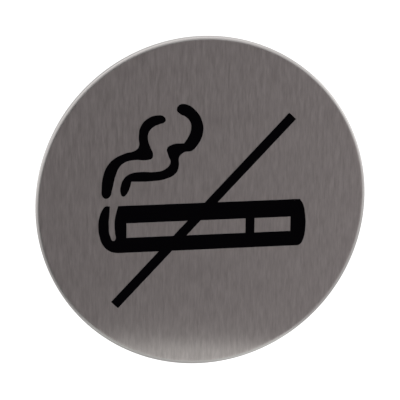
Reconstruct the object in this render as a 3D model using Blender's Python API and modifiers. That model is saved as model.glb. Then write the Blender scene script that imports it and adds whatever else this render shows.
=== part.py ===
"""Round brushed steel no smoking sign that sticks to a door or a wall.

It stands upright with +Z up and its face towards -Y. The origin is the centre of the
adhesive pad's back, the side that is pressed on the wall. Lengths are in metres.
Every piece is drawn lying on its back, with the face up, and one empty stands it up.
"""

from math import cos, pi, radians, sin

import bmesh
import bpy

MM = 0.001

# The plate is a stamped disc. The punch draws its front edge down in a wide, shallow roll,
# and its back edge is only deburred.
PLATE_DIAMETER = 83.0 * MM
PLATE_THICKNESS = 1.5 * MM
FRONT_ROLL_WIDTH = 0.95 * MM
FRONT_ROLL_DEPTH = 0.4 * MM
BACK_EDGE_RADIUS = 0.1 * MM

# The foam pad lies behind the plate, set back from its edge.
PAD_THICKNESS = 0.8 * MM
PAD_INSET = 4.0 * MM

# The ink film of the printed pictogram.
INK_THICKNESS = 0.05 * MM

# The cigarette's body, from the corner of its lit end to the corner of its filter end.
BODY_LENGTH = 45.9 * MM
BODY_HEIGHT = 11.89 * MM
BODY_SHIFT = 1.73 * MM
BODY_TOP = 0.03 * MM

# The lines drawn round the two windows in the body, where the steel shows.
TOP_BAND = 4.42 * MM
BOTTOM_BAND = 3.77 * MM
LIT_END_BAND = 2.08 * MM
FILTER_END_BAND = 2.28 * MM
FILTER_WINDOW_LENGTH = 9.22 * MM
DIVIDER_WIDTH = 2.28 * MM

# The bowed filter end, and the ember: a curl parted from the body by a bare slit.
FILTER_END_BOW = 1.59 * MM
LIT_END_BOW = 0.89 * MM
SLIT_WIDTH = 1.44 * MM
SLIT_FLOOR = 3.08 * MM
CURL_WIDTH = 2.58 * MM
CURL_TIP_WIDTH = 1.09 * MM
CURL_TIP_LEAN = 0.25 * MM

# The bar across the cigarette, and the place of its middle on the plate.
BAR_WIDTH = 2.38 * MM
BAR_ANGLE = radians(46.2)
BAR_END_MARGIN = 9.41 * MM
BAR_MIDDLE = (0.17 * MM, -1.96 * MM)

# The smoke that rises from the lit end: its clearance above the cigarette, and its height
# from the foot of the left wisp to the top of the right one.
SMOKE_GAP = 1.98 * MM
SMOKE_HEIGHT = 22.93 * MM

# Outlines of the two wisps, clockwise from the foot, to the right of the body's lit corner
# and above the foot of the left wisp. They are scaled together to the smoke's height.
LEFT_WISP = (
    (-3.2, 0.0), (-4.0, 0.75), (-4.15, 2.5), (-3.75, 5.8), (-2.55, 8.5), (-0.7, 10.2),
    (1.7, 11.25), (4.4, 12.0), (5.15, 12.95), (5.05, 15.1), (5.5, 17.8), (7.3, 19.8),
    (9.7, 20.55), (11.3, 20.2), (11.75, 19.2), (11.3, 18.65), (10.4, 18.35), (9.2, 17.95),
    (7.7, 16.6), (7.35, 14.7), (8.0, 12.5), (8.65, 10.9), (8.4, 9.8), (7.4, 9.45),
    (4.0, 9.5), (2.0, 9.15), (0.45, 8.1), (-0.6, 6.0), (-1.55, 2.2), (-2.1, 0.5),
)
RIGHT_WISP = (
    (1.2, 0.4), (0.55, 1.5), (0.65, 3.1), (1.5, 5.0), (3.1, 6.1), (5.9, 6.45),
    (9.0, 6.3), (11.7, 6.9), (13.05, 8.5), (12.5, 10.4), (12.2, 12.1), (13.4, 13.05),
    (16.45, 13.3), (17.25, 14.45), (18.1, 16.4), (18.1, 18.2), (17.0, 19.8), (15.2, 20.85),
    (14.55, 21.9), (15.3, 23.05), (16.8, 23.1), (19.3, 21.45), (21.0, 18.5), (21.1, 15.4),
    (19.7, 12.6), (18.4, 11.35), (16.5, 11.05), (15.25, 9.9), (15.15, 7.7), (14.5, 5.9),
    (12.0, 4.5), (7.9, 4.0), (3.3, 4.1), (2.7, 2.1), (2.0, 0.85),
)
RIGHT_WISP_CORNERS = ((16.45, 13.3), (3.3, 4.1))

PLATE_SEGMENTS = 144
PAD_SEGMENTS = 96
EDGE_STEPS = 6
ANCHOR_STEPS = 8
WELD = 0.000001

# Levels above the wall, and places on the face, that follow from the sizes.
PLATE_RADIUS = PLATE_DIAMETER / 2
PLATE_BACK = PAD_THICKNESS
PLATE_FACE = PLATE_BACK + PLATE_THICKNESS
BODY_LEFT = BODY_SHIFT - BODY_LENGTH / 2
BODY_RIGHT = BODY_SHIFT + BODY_LENGTH / 2
BODY_BOTTOM = BODY_TOP - BODY_HEIGHT


def clear_scene():
    for thing in list(bpy.data.objects):
        bpy.data.objects.remove(thing, do_unlink=True)


def new_collection(name):
    collection = bpy.data.collections.new(name)
    bpy.context.scene.collection.children.link(collection)
    return collection


def material(name, colour, roughness, metallic):
    made = bpy.data.materials.new(name)
    made.use_nodes = True
    shader = made.node_tree.nodes["Principled BSDF"]
    shader.inputs["Base Color"].default_value = (*colour, 1.0)
    shader.inputs["Roughness"].default_value = roughness
    shader.inputs["Metallic"].default_value = metallic
    return made


def add_object(name, data, collection, parent, finish):
    """Puts new data in the scene as one named piece with its own material."""
    piece = bpy.data.objects.new(name, data)
    collection.objects.link(piece)
    piece.parent = parent
    data.materials.clear()
    data.materials.append(finish)
    return piece


def quarter_round(centre, width, depth, start):
    """Points of a quarter ellipse in the profile plane, from its start angle down a quarter turn."""
    points = []
    for step in range(EDGE_STEPS + 1):
        angle = start - pi / 2 * step / EDGE_STEPS
        points.append((centre[0] + width * cos(angle), centre[1] + depth * sin(angle)))
    return points


def plate_profile():
    """The disc's section: out along the face, round the rim, and back along the rear."""
    front = (PLATE_RADIUS - FRONT_ROLL_WIDTH, PLATE_FACE - FRONT_ROLL_DEPTH)
    rear = (PLATE_RADIUS - BACK_EDGE_RADIUS, PLATE_BACK + BACK_EDGE_RADIUS)
    rim = quarter_round(front, FRONT_ROLL_WIDTH, FRONT_ROLL_DEPTH, pi / 2)
    rim += quarter_round(rear, BACK_EDGE_RADIUS, BACK_EDGE_RADIUS, 0.0)
    return [(0.0, PLATE_FACE), *rim, (0.0, PLATE_BACK)]


def profile_line(name, profile):
    """A mesh of the profile's line at +X, for a Screw modifier to turn round Z."""
    mesh = bpy.data.meshes.new(name)
    shape = bmesh.new()
    points = [shape.verts.new((radius, 0.0, level)) for radius, level in profile]
    for first, second in zip(points, points[1:]):
        shape.edges.new((first, second))
    shape.to_mesh(mesh)
    shape.free()
    return mesh


def make_plate(collection, parent):
    mesh = profile_line("sign_plate", plate_profile())
    steel = material("brushed_stainless_steel", (0.36, 0.34, 0.32), 0.35, 1.0)
    plate = add_object("sign_plate", mesh, collection, parent, steel)
    turn = plate.modifiers.new("turn", "SCREW")
    turn.axis = "Z"
    turn.steps = PLATE_SEGMENTS
    turn.render_steps = PLATE_SEGMENTS
    turn.use_merge_vertices = True
    turn.merge_threshold = WELD
    turn.use_smooth_shade = True
    return plate


def make_pad(collection, parent):
    mesh = bpy.data.meshes.new("adhesive_pad")
    shape = bmesh.new()
    radius = PLATE_RADIUS - PAD_INSET
    bmesh.ops.create_cone(
        shape, cap_ends=True, segments=PAD_SEGMENTS, radius1=radius, radius2=radius, depth=PAD_THICKNESS
    )
    shape.to_mesh(mesh)
    shape.free()
    mesh.shade_smooth()
    mesh.set_sharp_from_angle(angle=radians(40))
    foam = material("foam_tape", (0.78, 0.77, 0.74), 0.8, 0.0)
    pad = add_object("adhesive_pad", mesh, collection, parent, foam)
    pad.location.z = PAD_THICKNESS / 2
    return pad


def sharp(x, y):
    return (x, y, "VECTOR")


def smooth(x, y):
    return (x, y, "AUTO")


def box_outline(left, bottom, right, top):
    return [sharp(left, bottom), sharp(left, top), sharp(right, top), sharp(right, bottom)]


def filter_end():
    """Down the bowed right end, from the body's top corner to its rounded bottom one.

    Places are shares of the end's bow and of the body's height.
    """

    def end(kind, out, down):
        return kind(BODY_RIGHT + FILTER_END_BOW * out, BODY_TOP - BODY_HEIGHT * down)

    return [
        end(sharp, 0.0, 0.0),
        end(smooth, 0.53, 0.11),
        end(smooth, 0.94, 0.37),
        end(smooth, 0.97, 0.66),
        end(smooth, 0.66, 0.87),
        end(smooth, 0.28, 0.965),
        end(sharp, -0.15, 1.0),
    ]


def lit_end():
    """Round the ember from the body's bottom edge, up to its tip, down the slit and up again.

    Places on the curl are shares of its width and of the body's height. Those on the slit
    are shares of its width or of the end's bow, and of its depth.
    """
    slit_right = BODY_LEFT - LIT_END_BOW
    slit_left = slit_right - SLIT_WIDTH
    curl_left = slit_left - CURL_WIDTH
    tip_right = slit_left + CURL_TIP_LEAN
    slit_bottom = BODY_BOTTOM + SLIT_FLOOR
    slit_depth = BODY_TOP - slit_bottom

    def curl(share, down):
        return smooth(curl_left + CURL_WIDTH * share, BODY_TOP - BODY_HEIGHT * down)

    def slit(edge, down):
        return smooth(edge, BODY_TOP - slit_depth * down)

    return [
        sharp(BODY_LEFT, BODY_BOTTOM),
        curl(1.45, 0.985),
        curl(1.1, 0.955),
        curl(0.54, 0.85),
        curl(0.15, 0.66),
        curl(0.0, 0.44),
        curl(0.12, 0.21),
        curl(0.42, 0.06),
        smooth(tip_right - CURL_TIP_WIDTH, BODY_TOP),
        sharp(tip_right, BODY_TOP),
        slit(slit_left + SLIT_WIDTH * 0.1, 0.24),
        slit(slit_left, 0.5),
        slit(slit_left + SLIT_WIDTH * 0.28, 0.87),
        smooth(slit_left + SLIT_WIDTH * 0.86, slit_bottom),
        slit(slit_right + LIT_END_BOW * 0.33, 0.94),
        slit(slit_right + LIT_END_BOW * 0.15, 0.77),
        slit(slit_right, 0.5),
        slit(slit_right + LIT_END_BOW * 0.35, 0.24),
        sharp(BODY_LEFT, BODY_TOP),
    ]


def windows():
    """The two bare places in the body: the long one and the one in the filter."""
    low = BODY_BOTTOM + BOTTOM_BAND
    high = BODY_TOP - TOP_BAND
    filter_right = BODY_RIGHT - FILTER_END_BAND
    filter_left = filter_right - FILTER_WINDOW_LENGTH
    divider_left = filter_left - DIVIDER_WIDTH
    return [
        box_outline(BODY_LEFT + LIT_END_BAND, low, divider_left, high),
        box_outline(filter_left, low, filter_right, high),
    ]


def wisp(points, corners=()):
    """Scales a wisp's drawing and puts it above the lit end."""
    scale = SMOKE_HEIGHT / max(y for _, y in RIGHT_WISP)
    foot = BODY_TOP + SMOKE_GAP
    placed = []
    for point in points:
        kind = sharp if point in corners else smooth
        placed.append(kind(BODY_LEFT + scale * point[0], foot + scale * point[1]))
    return placed


def ink_film(name, outlines, collection, parent, finish):
    """A flat solid of ink on the plate's face. Each outline inside the first leaves a hole."""
    drawing = bpy.data.curves.new(name, "CURVE")
    drawing.dimensions = "2D"
    drawing.fill_mode = "BOTH"
    drawing.extrude = INK_THICKNESS / 2
    drawing.resolution_u = ANCHOR_STEPS
    for outline in outlines:
        line = drawing.splines.new("BEZIER")
        line.bezier_points.add(len(outline) - 1)
        for point, (x, y, _) in zip(line.bezier_points, outline):
            point.co = (x, y, 0.0)
        for point, (_, _, kind) in zip(line.bezier_points, outline):
            point.handle_left_type = kind
            point.handle_right_type = kind
        line.use_cyclic_u = True
    sketch = bpy.data.objects.new(name + "_sketch", drawing)
    collection.objects.link(sketch)
    mesh = bpy.data.meshes.new_from_object(sketch.evaluated_get(bpy.context.evaluated_depsgraph_get()))
    bpy.data.objects.remove(sketch, do_unlink=True)
    shape = bmesh.new()
    shape.from_mesh(mesh)
    bmesh.ops.remove_doubles(shape, verts=shape.verts, dist=WELD)
    shape.to_mesh(mesh)
    shape.free()
    mesh.name = name
    film = add_object(name, mesh, collection, parent, finish)
    film.location.z = PLATE_FACE + INK_THICKNESS / 2
    return film


def make_bar(collection, parent):
    """The bar's box, which is joined to the cigarette and shows only as part of it."""
    mesh = bpy.data.meshes.new("bar")
    shape = bmesh.new()
    bmesh.ops.create_cube(shape, size=1.0)
    length = PLATE_DIAMETER - 2 * BAR_END_MARGIN
    bmesh.ops.scale(shape, vec=(length, BAR_WIDTH, INK_THICKNESS), verts=shape.verts)
    shape.to_mesh(mesh)
    shape.free()
    bar = bpy.data.objects.new("bar", mesh)
    collection.objects.link(bar)
    bar.parent = parent
    bar.location = (*BAR_MIDDLE, PLATE_FACE + INK_THICKNESS / 2)
    bar.rotation_euler.z = BAR_ANGLE
    bar.hide_render = True
    bar.display_type = "WIRE"
    return bar


def make_pictogram(collection, tools, parent):
    ink = material("matt_black_ink", (0.01, 0.01, 0.01), 0.75, 0.0)
    outlines = [filter_end() + lit_end(), *windows()]
    cigarette = ink_film("pictogram_cigarette", outlines, collection, parent, ink)
    join = cigarette.modifiers.new("bar", "BOOLEAN")
    join.operation = "UNION"
    join.solver = "EXACT"
    join.object = make_bar(tools, parent)
    ink_film("pictogram_smoke_left", [wisp(LEFT_WISP)], collection, parent, ink)
    ink_film("pictogram_smoke_right", [wisp(RIGHT_WISP, RIGHT_WISP_CORNERS)], collection, parent, ink)


def main():
    clear_scene()
    pieces = new_collection("no_smoking_sign")
    tools = new_collection("construction")
    upright = bpy.data.objects.new("upright", None)
    pieces.objects.link(upright)
    upright.rotation_euler.x = radians(90)
    make_plate(pieces, upright)
    make_pad(pieces, upright)
    make_pictogram(pieces, tools, upright)
    bpy.context.view_layer.update()


main()
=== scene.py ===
"""Dresses the round brushed steel no smoking sign, and sets up its studio and camera."""

import math

import bpy
from mathutils import Matrix, Quaternion, Vector


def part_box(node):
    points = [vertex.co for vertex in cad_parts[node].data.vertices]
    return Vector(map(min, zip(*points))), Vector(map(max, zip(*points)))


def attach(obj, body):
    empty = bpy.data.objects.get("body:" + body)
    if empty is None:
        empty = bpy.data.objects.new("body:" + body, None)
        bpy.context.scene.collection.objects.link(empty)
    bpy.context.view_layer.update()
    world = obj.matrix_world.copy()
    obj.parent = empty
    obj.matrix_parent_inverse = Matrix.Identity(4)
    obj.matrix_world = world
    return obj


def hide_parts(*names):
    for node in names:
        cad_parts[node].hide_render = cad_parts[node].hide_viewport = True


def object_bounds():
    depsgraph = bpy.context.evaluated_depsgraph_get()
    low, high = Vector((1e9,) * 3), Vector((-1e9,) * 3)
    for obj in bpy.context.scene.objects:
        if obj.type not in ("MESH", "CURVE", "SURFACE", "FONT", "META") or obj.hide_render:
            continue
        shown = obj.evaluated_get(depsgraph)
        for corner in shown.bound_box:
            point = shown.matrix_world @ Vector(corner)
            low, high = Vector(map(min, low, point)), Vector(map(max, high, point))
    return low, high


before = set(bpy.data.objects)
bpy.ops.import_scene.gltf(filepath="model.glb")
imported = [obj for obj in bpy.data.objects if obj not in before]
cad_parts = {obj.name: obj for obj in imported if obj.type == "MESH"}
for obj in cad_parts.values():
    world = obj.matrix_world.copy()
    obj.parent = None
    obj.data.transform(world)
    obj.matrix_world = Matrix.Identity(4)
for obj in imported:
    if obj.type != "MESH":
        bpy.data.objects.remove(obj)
cad_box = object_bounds()
MM = 0.001  # the frame is in metres


# THE PLATE
# A disc punched from 1.5 mm stainless steel sheet. Its face is brushed straight up and
# down, the punch draws its front edge down in a wide, shallow roll, and its back keeps
# the dull finish of the rolled sheet.


def linear(shade):
    """Turns an sRGB hex colour into the linear one that shaders take."""
    parts = [int(shade[start : start + 2], 16) / 255 for start in (1, 3, 5)]
    return (*(v / 12.92 if v <= 0.04045 else ((v + 0.055) / 1.055) ** 2.4 for v in parts), 1.0)


def add(tree, kind, settings=None, inputs=None):
    """Adds a node with its settings. An input takes a value, a node's first output or a socket."""
    made = tree.nodes.new(kind)
    for name, value in (settings or {}).items():
        setattr(made, name, value)
    for port, value in (inputs or {}).items():
        if isinstance(value, bpy.types.Node):
            value = value.outputs[0]
        if isinstance(value, bpy.types.NodeSocket):
            tree.links.new(value, made.inputs[port])
        else:
            made.inputs[port].default_value = value
    return made


def new_finish(name):
    """A new material, its node tree, and the socket that gives the spot on the piece."""
    finish = bpy.data.materials.new(name)
    finish.use_nodes = True
    finish.node_tree.nodes.clear()
    spot = add(finish.node_tree, "ShaderNodeTexCoord").outputs["Object"]
    return finish, finish.node_tree, spot


def scratches(tree, spot, across, along, start):
    """Noise drawn out up and down: marks this wide and this long, from a start of their own."""
    drawn = add(
        tree,
        "ShaderNodeMapping",
        {},
        {"Vector": spot, "Location": (start, 0, start), "Scale": (1 / across, 0, 1 / along)},
    )
    return add(
        tree,
        "ShaderNodeTexNoise",
        {},
        {"Vector": drawn, "Scale": 1, "Detail": 2, "Roughness": 0.6},
    )


# A Mix node has sockets of the same name for numbers and for colours, so these go by their
# places: the share of the second colour, the two colours, and the mixed one that comes out.
SHARE, FIRST, SECOND, MIXED = 0, 6, 7, 2

# Nearly all of a noise lies between these two values.
NOISE_LOW, NOISE_HIGH = 0.3, 0.7

# Brushed stainless steel, ground with one pass of a 180 grit belt that ran up and down.
# Its scratches are about 0.06 mm wide, which spreads reflections sideways and keeps them
# narrow up and down. They are drawn as marks 0.35 mm wide and more, to show at this size.
brushed, nodes, spot = new_finish("brushed_stainless_steel")
fine_marks = {"across": 0.35 * MM, "along": 2.5 * MM, "start": 3.1}
broad_marks = {"across": 0.8 * MM, "along": 5.5 * MM, "start": 7.7}
scratch_depth = 0.01 * MM
fine = scratches(nodes, spot, **fine_marks)
broad = scratches(nodes, spot, **broad_marks)
marks = add(nodes, "ShaderNodeMath", {"operation": "ADD"}, {0: fine, 1: broad})
tone = add(nodes, "ShaderNodeMapRange", {}, {"Value": marks, "From Min": 0.75, "From Max": 1.25})
colour = add(
    nodes,
    "ShaderNodeMix",
    {"data_type": "RGBA"},
    {SHARE: tone, FIRST: linear("#cabfbe"), SECOND: linear("#dcd1d0")},
)
rough = add(
    nodes,
    "ShaderNodeMapRange",
    {},
    {"Value": broad, "From Min": NOISE_LOW, "From Max": NOISE_HIGH, "To Min": 0.288, "To Max": 0.312},
)
relief = add(nodes, "ShaderNodeBump", {}, {"Height": marks, "Strength": 0.2, "Distance": scratch_depth})
grain = add(nodes, "ShaderNodeTangent", {"direction_type": "RADIAL", "axis": "Z"})
steel = add(
    nodes,
    "ShaderNodeBsdfPrincipled",
    {},
    {
        "Base Color": colour.outputs[MIXED],
        "Metallic": 1,
        "Roughness": rough,
        "Anisotropic": 0.8,
        "Normal": relief,
        "Tangent": grain,
    },
)
add(nodes, "ShaderNodeOutputMaterial", {}, {"Surface": steel})

# Tumbled stainless steel: the punched edge once its burr is off. It has a satin shine
# and no grain, so the roll carries a soft light band all the way round.
tumbled, nodes, spot = new_finish("tumbled_stainless_steel_edge")
pit_width, pit_depth = 0.4 * MM, 0.01 * MM
pits = add(nodes, "ShaderNodeTexNoise", {}, {"Vector": spot, "Scale": 1 / pit_width, "Detail": 3})
rough = add(
    nodes,
    "ShaderNodeMapRange",
    {},
    {"Value": pits, "From Min": NOISE_LOW, "From Max": NOISE_HIGH, "To Min": 0.3, "To Max": 0.38},
)
relief = add(nodes, "ShaderNodeBump", {}, {"Height": pits, "Strength": 0.2, "Distance": pit_depth})
steel = add(
    nodes,
    "ShaderNodeBsdfPrincipled",
    {},
    {"Base Color": linear("#c8c4c2"), "Metallic": 1, "Roughness": rough, "Normal": relief},
)
add(nodes, "ShaderNodeOutputMaterial", {}, {"Surface": steel})

# Cold rolled stainless steel with the rolling mill's own dull, even finish. It blurs what
# it mirrors, with a faint haze in patches a few millimetres wide.
rolled, nodes, spot = new_finish("cold_rolled_stainless_steel_back")
patch_width = 5 * MM
haze = add(nodes, "ShaderNodeTexNoise", {}, {"Vector": spot, "Scale": 1 / patch_width, "Detail": 4})
rough = add(
    nodes,
    "ShaderNodeMapRange",
    {},
    {"Value": haze, "From Min": NOISE_LOW, "From Max": NOISE_HIGH, "To Min": 0.38, "To Max": 0.46},
)
steel = add(
    nodes,
    "ShaderNodeBsdfPrincipled",
    {},
    {"Base Color": linear("#b4afab"), "Metallic": 1, "Roughness": rough},
)
add(nodes, "ShaderNodeOutputMaterial", {}, {"Surface": steel})


def new_shape(name, inputs):
    """A geometry tree with these named inputs, and the sockets that bring them into it."""
    tree = bpy.data.node_groups.new(name, "GeometryNodeTree")
    tree.interface.new_socket("Geometry", in_out="OUTPUT", socket_type="NodeSocketGeometry")
    kinds = {float: "NodeSocketFloat", int: "NodeSocketInt", bpy.types.Material: "NodeSocketMaterial"}
    for label, value in inputs.items():
        tree.interface.new_socket(label, in_out="INPUT", socket_type=kinds[type(value)])
    return tree, add(tree, "NodeGroupInput").outputs


def close_disc(tree, wall, flat, front, back):
    """Closes a wall with a flat face at its front and one, turned over, at its back."""
    joined = add(tree, "GeometryNodeJoinGeometry", {}, {"Geometry": wall})
    for level, turned in ((front, False), (back, True)):
        height = add(tree, "ShaderNodeMath", {"operation": "MULTIPLY"}, {0: level, 1: -1.0})
        shift = add(tree, "ShaderNodeCombineXYZ", {}, {"Z": height})
        face = add(tree, "GeometryNodeTransform", {}, {"Geometry": flat, "Translation": shift})
        if turned:
            face = add(tree, "GeometryNodeFlipFaces", {}, {"Mesh": face})
        tree.links.new(face.outputs[0], joined.inputs[0])
    reach = 0.001 * MM  # points that lie nearer to each other than this become one
    closed = add(tree, "GeometryNodeMergeByDistance", {}, {"Geometry": joined, "Distance": reach})
    return add(tree, "GeometryNodeSetShadeSmooth", {}, {"Geometry": closed})


def finish_disc(tree, disc, wall, front, back):
    """Stands a disc up with its face to -Y, and gives its wall and flat faces their finishes."""
    upright = add(tree, "GeometryNodeTransform", {}, {"Geometry": disc, "Rotation": (math.pi / 2, 0, 0)})
    shown = add(tree, "GeometryNodeRealizeInstances", {}, {"Geometry": upright})
    normal = add(tree, "GeometryNodeInputNormal")
    facing = add(tree, "ShaderNodeSeparateXYZ", {}, {"Vector": normal}).outputs["Y"]
    straight = 0.999  # a flat face's normal lies at least this much along Y, out of 1
    forward = add(tree, "FunctionNodeCompare", {"operation": "LESS_THAN"}, {0: facing, 1: -straight})
    backward = add(tree, "FunctionNodeCompare", {"operation": "GREATER_THAN"}, {0: facing, 1: straight})
    for chosen, finish in ((True, wall), (forward, front), (backward, back)):
        shown = add(
            tree,
            "GeometryNodeSetMaterial",
            {},
            {"Geometry": shown, "Selection": chosen, "Material": finish},
        )
    add(tree, "NodeGroupOutput", {}, {"Geometry": shown})


def bake(name, tree, inputs):
    """Keeps what a geometry tree makes from its inputs as the plain mesh of a new piece."""
    piece = bpy.data.objects.new(name, bpy.data.meshes.new(name))
    bpy.context.scene.collection.objects.link(piece)
    shape = piece.modifiers.new("shape", "NODES")
    shape.node_group = tree
    for port in tree.interface.items_tree:
        if port.in_out == "INPUT":
            shape[port.identifier] = inputs[port.name]
    bpy.context.view_layer.update()
    made = piece.evaluated_get(bpy.context.evaluated_depsgraph_get())
    mesh = bpy.data.meshes.new_from_object(made)
    piece.modifiers.clear()
    piece.data = mesh
    return piece


low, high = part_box("sign_plate")
plate_inputs = {
    "Radius": (high.x - low.x) / 2,
    "Face": low.y,
    "Back": high.y,
    "Roll Width": 0.95 * MM,
    "Roll Depth": 0.4 * MM,
    "Back Corner": 0.1 * MM,
    "Rim Width": 1.4 * MM,
    "Corner Steps": 8,
    "Segments": 288,
    "Face Finish": brushed,
    "Edge Finish": tumbled,
    "Back Finish": rolled,
}
tree, given = new_shape("punched_plate", plate_inputs)

# The rim's section, from the face round the edge to the back, then swept round a circle.
# It is drawn with round corners, and then widened, which makes the face's roll shallow.
radius, rim_width = given["Radius"], given["Rim Width"]
roll_width, roll_depth = given["Roll Width"], given["Roll Depth"]
inner_radius = add(tree, "ShaderNodeMath", {"operation": "SUBTRACT"}, {0: radius, 1: rim_width})
widen = add(tree, "ShaderNodeMath", {"operation": "DIVIDE"}, {0: roll_width, 1: roll_depth})
inner = add(tree, "ShaderNodeMath", {"operation": "DIVIDE"}, {0: rim_width, 1: widen})
inner = add(tree, "ShaderNodeMath", {"operation": "MULTIPLY"}, {0: inner, 1: -1.0})
corners = {
    "Point 1": add(tree, "ShaderNodeCombineXYZ", {}, {"X": inner, "Y": given["Face"]}),
    "Point 2": add(tree, "ShaderNodeCombineXYZ", {}, {"Y": given["Face"]}),
    "Point 3": add(tree, "ShaderNodeCombineXYZ", {}, {"Y": given["Back"]}),
    "Point 4": add(tree, "ShaderNodeCombineXYZ", {}, {"X": inner, "Y": given["Back"]}),
}
section = add(tree, "GeometryNodeCurvePrimitiveQuadrilateral", {"mode": "POINTS"}, corners)
section = add(tree, "GeometryNodeSetSplineCyclic", {}, {"Geometry": section, "Cyclic": False})

# Points are counted from 0, so the front corner, Point 2, has the index 1. A Compare node
# takes whole numbers at its inputs 2 and 3.
index = add(tree, "GeometryNodeInputIndex")
front = add(tree, "FunctionNodeCompare", {"data_type": "INT", "operation": "EQUAL"}, {2: index, 3: 1})
corner = add(
    tree,
    "GeometryNodeSwitch",
    {"input_type": "FLOAT"},
    {"Switch": front, "False": given["Back Corner"], "True": roll_depth},
)
section = add(
    tree,
    "GeometryNodeFilletCurve",
    {"mode": "POLY"},
    {"Curve": section, "Count": given["Corner Steps"], "Radius": corner},
)
stretch = add(tree, "ShaderNodeCombineXYZ", {}, {"X": widen, "Y": 1.0, "Z": 1.0})
section = add(tree, "GeometryNodeTransform", {}, {"Geometry": section, "Scale": stretch})
ring = add(
    tree,
    "GeometryNodeCurvePrimitiveCircle",
    {"mode": "RADIUS"},
    {"Resolution": given["Segments"], "Radius": radius},
)
edge = add(tree, "GeometryNodeCurveToMesh", {}, {"Curve": ring, "Profile Curve": section})
middle = add(
    tree,
    "GeometryNodeMeshCircle",
    {"fill_type": "NGON"},
    {"Vertices": given["Segments"], "Radius": inner_radius},
)
disc = close_disc(tree, edge, middle, given["Face"], given["Back"])
finish_disc(tree, disc, given["Edge Finish"], given["Face Finish"], given["Back Finish"])

plate = bake("brushed_plate", tree, plate_inputs)
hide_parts("sign_plate")
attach(plate, "root")


# THE ADHESIVE PAD
# A disc die-cut from white foam tape with acrylic adhesive on both sides. The cut wall
# shows the closed cells and draws in a little between the two faces.

# Off-white closed-cell foam, cut through: the halved cells leave a fine pitted wall, dull
# and nearly without gloss.
foam, nodes, spot = new_finish("closed_cell_foam_wall")
cell_width, cell_depth = 0.18 * MM, 0.06 * MM
cells = add(nodes, "ShaderNodeTexVoronoi", {}, {"Vector": spot, "Scale": 1 / cell_width})
cells = cells.outputs["Distance"]
# Each cell is painted darker towards the bottom of its pit, as painted shade in the hollows; the same
# depth drives the relief.
colour = add(
    nodes,
    "ShaderNodeMix",
    {"data_type": "RGBA"},
    {SHARE: cells, FIRST: linear("#d6d3cc"), SECOND: linear("#f0eee8")},
)
relief = add(nodes, "ShaderNodeBump", {}, {"Height": cells, "Strength": 0.6, "Distance": cell_depth})
skin = add(
    nodes,
    "ShaderNodeBsdfPrincipled",
    {},
    {
        "Base Color": colour.outputs[MIXED],
        "Roughness": 0.85,
        "Specular IOR Level": 0.3,
        "Normal": relief,
    },
)
add(nodes, "ShaderNodeOutputMaterial", {}, {"Surface": skin})

# The acrylic adhesive film: clear over the foam, so it looks off-white with a soft wet
# gloss that is broken up where the film lies unevenly.
adhesive, nodes, spot = new_finish("acrylic_adhesive_film")
ripple_width, ripple_depth = 2.2 * MM, 0.05 * MM
ripple = add(nodes, "ShaderNodeTexNoise", {}, {"Vector": spot, "Scale": 1 / ripple_width, "Detail": 3})
rough = add(
    nodes,
    "ShaderNodeMapRange",
    {},
    {"Value": ripple, "From Min": NOISE_LOW, "From Max": NOISE_HIGH, "To Min": 0.3, "To Max": 0.55},
)
colour = add(
    nodes,
    "ShaderNodeMix",
    {"data_type": "RGBA"},
    {SHARE: ripple, FIRST: linear("#dedad0"), SECOND: linear("#ebe8e0")},
)
relief = add(nodes, "ShaderNodeBump", {}, {"Height": ripple, "Strength": 0.4, "Distance": ripple_depth})
film = add(
    nodes,
    "ShaderNodeBsdfPrincipled",
    {},
    {"Base Color": colour.outputs[MIXED], "Roughness": rough, "Normal": relief},
)
add(nodes, "ShaderNodeOutputMaterial", {}, {"Surface": film})

low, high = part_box("adhesive_pad")
pad_inputs = {
    "Radius": (high.x - low.x) / 2,
    "Plate Side": low.y,
    "Wall Side": high.y,
    "Draw In": 0.08 * MM,
    "Cut Steps": 6,
    "Segments": 192,
    "Cut Finish": foam,
    "Face Finish": adhesive,
}
tree, given = new_shape("die_cut_pad", pad_inputs)

# The cut's section is an arc from one face to the other, bowed inwards and swept round.
plate_side, wall_side = given["Plate Side"], given["Wall Side"]
half = add(tree, "ShaderNodeMath", {"operation": "ADD"}, {0: plate_side, 1: wall_side})
half = add(tree, "ShaderNodeMath", {"operation": "MULTIPLY"}, {0: half, 1: 0.5})
dip = add(tree, "ShaderNodeMath", {"operation": "MULTIPLY"}, {0: given["Draw In"], 1: -1.0})
section = add(
    tree,
    "GeometryNodeCurveArc",
    {"mode": "POINTS"},
    {
        "Resolution": given["Cut Steps"],
        "Start": add(tree, "ShaderNodeCombineXYZ", {}, {"Y": plate_side}),
        "Middle": add(tree, "ShaderNodeCombineXYZ", {}, {"X": dip, "Y": half}),
        "End": add(tree, "ShaderNodeCombineXYZ", {}, {"Y": wall_side}),
    },
)
ring = add(
    tree,
    "GeometryNodeCurvePrimitiveCircle",
    {"mode": "RADIUS"},
    {"Resolution": given["Segments"], "Radius": given["Radius"]},
)
cut = add(tree, "GeometryNodeCurveToMesh", {}, {"Curve": ring, "Profile Curve": section})
face = add(
    tree,
    "GeometryNodeMeshCircle",
    {"fill_type": "NGON"},
    {"Vertices": given["Segments"], "Radius": given["Radius"]},
)
disc = close_disc(tree, cut, face, plate_side, wall_side)

# The die leaves a sharp edge round each face.
sharp_angle = math.radians(40)
bend = add(tree, "GeometryNodeInputMeshEdgeAngle")
sharp = add(tree, "FunctionNodeCompare", {"operation": "GREATER_THAN"}, {0: bend, 1: sharp_angle})
disc = add(
    tree,
    "GeometryNodeSetShadeSmooth",
    {"domain": "EDGE"},
    {"Geometry": disc, "Selection": sharp, "Shade Smooth": False},
)
finish_disc(tree, disc, given["Cut Finish"], given["Face Finish"], given["Face Finish"])

pad = bake("foam_tape_pad", tree, pad_inputs)
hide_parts("adhesive_pad")
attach(pad, "root")


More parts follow.
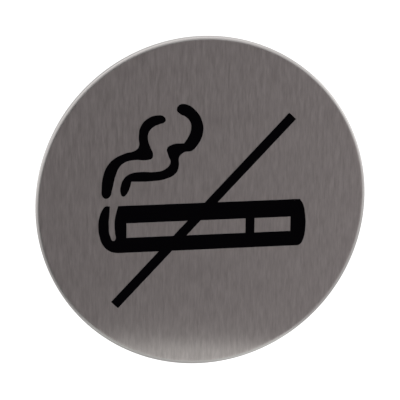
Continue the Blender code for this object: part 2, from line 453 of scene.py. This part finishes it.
# THE PRINTED PICTOGRAM
# One pass of matt black screen ink. It is dense and nearly without gloss, and the deeper
# scratches of the steel show through as a faint unevenness.
ink, nodes, spot = new_finish("matt_black_screen_ink")
below = scratches(nodes, spot, **fine_marks)
speck_width = 0.25 * MM
specks = add(nodes, "ShaderNodeTexNoise", {}, {"Vector": spot, "Scale": 1 / speck_width, "Detail": 2})
rough = add(
    nodes,
    "ShaderNodeMapRange",
    {},
    {"Value": specks, "From Min": NOISE_LOW, "From Max": NOISE_HIGH, "To Min": 0.6, "To Max": 0.75},
)
relief = add(nodes, "ShaderNodeBump", {}, {"Height": below, "Strength": 0.15, "Distance": scratch_depth})
film = add(
    nodes,
    "ShaderNodeBsdfPrincipled",
    {},
    {
        "Base Color": linear("#030204"),
        "Roughness": rough,
        "Specular IOR Level": 0.015,
        "Normal": relief,
    },
)
add(nodes, "ShaderNodeOutputMaterial", {}, {"Surface": film})
for name in ("pictogram_cigarette", "pictogram_smoke_left", "pictogram_smoke_right"):
    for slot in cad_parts[name].material_slots:
        slot.material = ink


# THE STUDIO
# White screens stand behind the sign, above it and at its sides, and leave a dark gap in
# front, where the camera is. The brushed face shows that gap, and the roll the screens.
WHITE, BLACK = (1, 1, 1, 1), (0, 0, 0, 1)
world = bpy.data.worlds.new("studio")
bpy.context.scene.world = world
world.use_nodes = True
nodes = world.node_tree
nodes.nodes.clear()
direction = add(nodes, "ShaderNodeTexCoord").outputs["Generated"]

# Each screen is a soft patch of the surroundings: the way to its middle, how near to that
# way it starts and is full, where 1 is the middle itself, and how white it is.
whiteness = 0.0
for middle, dark_until, lit_from, level in (
    ((0, 1, 0), 0.5, 1.25, 0.85),  # the backdrop
    ((0, 0, 1), 0.19, 0.89, 0.6),  # the ceiling
    ((0.88, 0, -0.48), 0.33, 0.7, 0.88),  # at the right, low
    ((0.45, 0, 0.89), 0.13, 0.32, 0.85),  # at the right, high
    ((-0.94, 0, 0.34), -0.06, 0.68, 1.0),  # at the left, high
    ((-0.99, 0, -0.16), 0.65, 0.82, 1.0),  # at the left, low
):
    nearness = add(
        nodes,
        "ShaderNodeVectorMath",
        {"operation": "DOT_PRODUCT"},
        {0: direction, 1: middle},
    ).outputs["Value"]
    screen = add(
        nodes,
        "ShaderNodeMapRange",
        {"interpolation_type": "SMOOTHSTEP"},
        {"Value": nearness, "From Min": dark_until, "From Max": lit_from, "To Max": level},
    )
    whiteness = add(nodes, "ShaderNodeMath", {"operation": "MAXIMUM"}, {0: screen, 1: whiteness})
room = add(
    nodes,
    "ShaderNodeMix",
    {"data_type": "RGBA"},
    {SHARE: whiteness, FIRST: BLACK, SECOND: WHITE},
)

# The camera sees plain white round the sign, and the metal sees the screens.
ray = add(nodes, "ShaderNodeLightPath").outputs
seen = add(
    nodes,
    "ShaderNodeMix",
    {"data_type": "RGBA"},
    {SHARE: ray["Is Camera Ray"], FIRST: room.outputs[MIXED], SECOND: WHITE},
)
sky = add(nodes, "ShaderNodeBackground", {}, {"Color": seen.outputs[MIXED], "Strength": 1.0})
add(nodes, "ShaderNodeOutputWorld", {}, {"Surface": sky})

# A pale matt floor, well below the sign. The camera sees it lifted to white, with the
# sign's shadow left on it, and the metal sees it grow white towards the backdrop, between
# 0.1 m and 0.6 m behind the sign.
floor_finish, nodes, spot = new_finish("pale_studio_floor")
camera_lift = 0.7
ray = add(nodes, "ShaderNodeLightPath").outputs
mirrored = add(
    nodes,
    "ShaderNodeMath",
    {"operation": "MAXIMUM"},
    {0: ray["Is Glossy Ray"], 1: ray["Is Transmission Ray"]},
)
behind = add(nodes, "ShaderNodeSeparateXYZ", {}, {"Vector": spot}).outputs["Y"]
backdrop = add(
    nodes,
    "ShaderNodeMapRange",
    {"interpolation_type": "SMOOTHSTEP"},
    {"Value": behind, "From Min": 0.1, "From Max": 0.6, "To Min": 0.05, "To Max": 0.7},
)
lift = add(nodes, "ShaderNodeMath", {"operation": "MULTIPLY"}, {0: mirrored, 1: backdrop})
lift = add(
    nodes,
    "ShaderNodeMath",
    {"operation": "MULTIPLY_ADD"},
    {0: ray["Is Camera Ray"], 1: camera_lift, 2: lift},
)
paint = add(nodes, "ShaderNodeBsdfDiffuse", {}, {"Color": (0.5, 0.5, 0.5, 1)})
glow = add(nodes, "ShaderNodeEmission", {}, {"Color": WHITE, "Strength": lift})
both = add(nodes, "ShaderNodeAddShader", {}, {0: paint, 1: glow})
add(nodes, "ShaderNodeOutputMaterial", {}, {"Surface": both})

half_width, front_edge, back_edge = 3, -0.15, 5  # metres
floor_level = cad_box[0].z - 80 * MM
floor_corners = [
    (-half_width, front_edge, floor_level),
    (half_width, front_edge, floor_level),
    (half_width, back_edge, floor_level),
    (-half_width, back_edge, floor_level),
]
floor_mesh = bpy.data.meshes.new("floor")
floor_mesh.from_pydata(floor_corners, [], [(0, 1, 2, 3)])
floor_mesh.materials.append(floor_finish)
floor = bpy.data.objects.new("floor", floor_mesh)
bpy.context.scene.collection.objects.link(floor)


def lamp(name, stand, aim, width, depth, watts, turn=0.0, tint=(1, 1, 1)):
    """A rectangular soft lamp at a point, aimed at another, and turned in its own plane."""
    light = bpy.data.lights.new(name, "AREA")
    light.shape = "RECTANGLE"
    light.size = width
    light.size_y = depth
    light.energy = watts
    light.color = tint
    piece = bpy.data.objects.new(name, light)
    bpy.context.scene.collection.objects.link(piece)
    piece.location = stand
    aimed = (Vector(aim) - Vector(stand)).to_track_quat("-Z", "Y")
    piece.rotation_euler = (aimed @ Quaternion((0, 0, 1), turn)).to_euler()
    piece.visible_camera = False


# Two weak soft lamps, above and at the right, and a small card just under the sign, which
# gives the glow at the bottom of the face. It is faintly green, so the glow isn't pink.
lamp("overhead", stand=(-0.1, -0.3, 0.9), aim=(0, 0, 0), width=1.8, depth=0.6, watts=1.7)
lamp("side", stand=(0.85, -0.25, 0.2), aim=(0, 0, 0), width=0.9, depth=0.5, watts=0.75)
lamp(
    "card",
    stand=(0, -0.022, -0.047),
    aim=(0, -0.022, 0),
    width=0.07,
    depth=0.028,
    watts=0.0022,
    turn=math.radians(-14),
    tint=(0.92, 1, 0.95),
)


# THE CAMERA
# A long lens, 581 mm away, to the left of the sign and a little above it, and tipped a
# little about its own line of sight.
camera_data = bpy.data.cameras.new("camera")
camera_data.sensor_width = 36
camera_data.lens = 212.2
camera = bpy.data.objects.new("camera", camera_data)
bpy.context.scene.collection.objects.link(camera)
bpy.context.scene.camera = camera

aim = Vector((-0.742, -2.3, 0.769)) * MM
distance = 581.1  # millimetres
azimuth, elevation, roll = math.radians(-12.375), math.radians(13.81), math.radians(0.719)
away = Vector(
    (
        math.sin(azimuth) * math.cos(elevation),
        -math.cos(azimuth) * math.cos(elevation),
        math.sin(elevation),
    )
)
level_right = (-away).cross(Vector((0, 0, 1))).normalized()
level_up = level_right.cross(-away)
right = level_right * math.cos(roll) + level_up * math.sin(roll)
up = level_up * math.cos(roll) - level_right * math.sin(roll)
turned = Matrix((right, up, away)).transposed().to_4x4()
camera.matrix_world = Matrix.Translation(aim + away * distance * MM) @ turned
bpy.context.scene.view_settings.view_transform = "Standard"
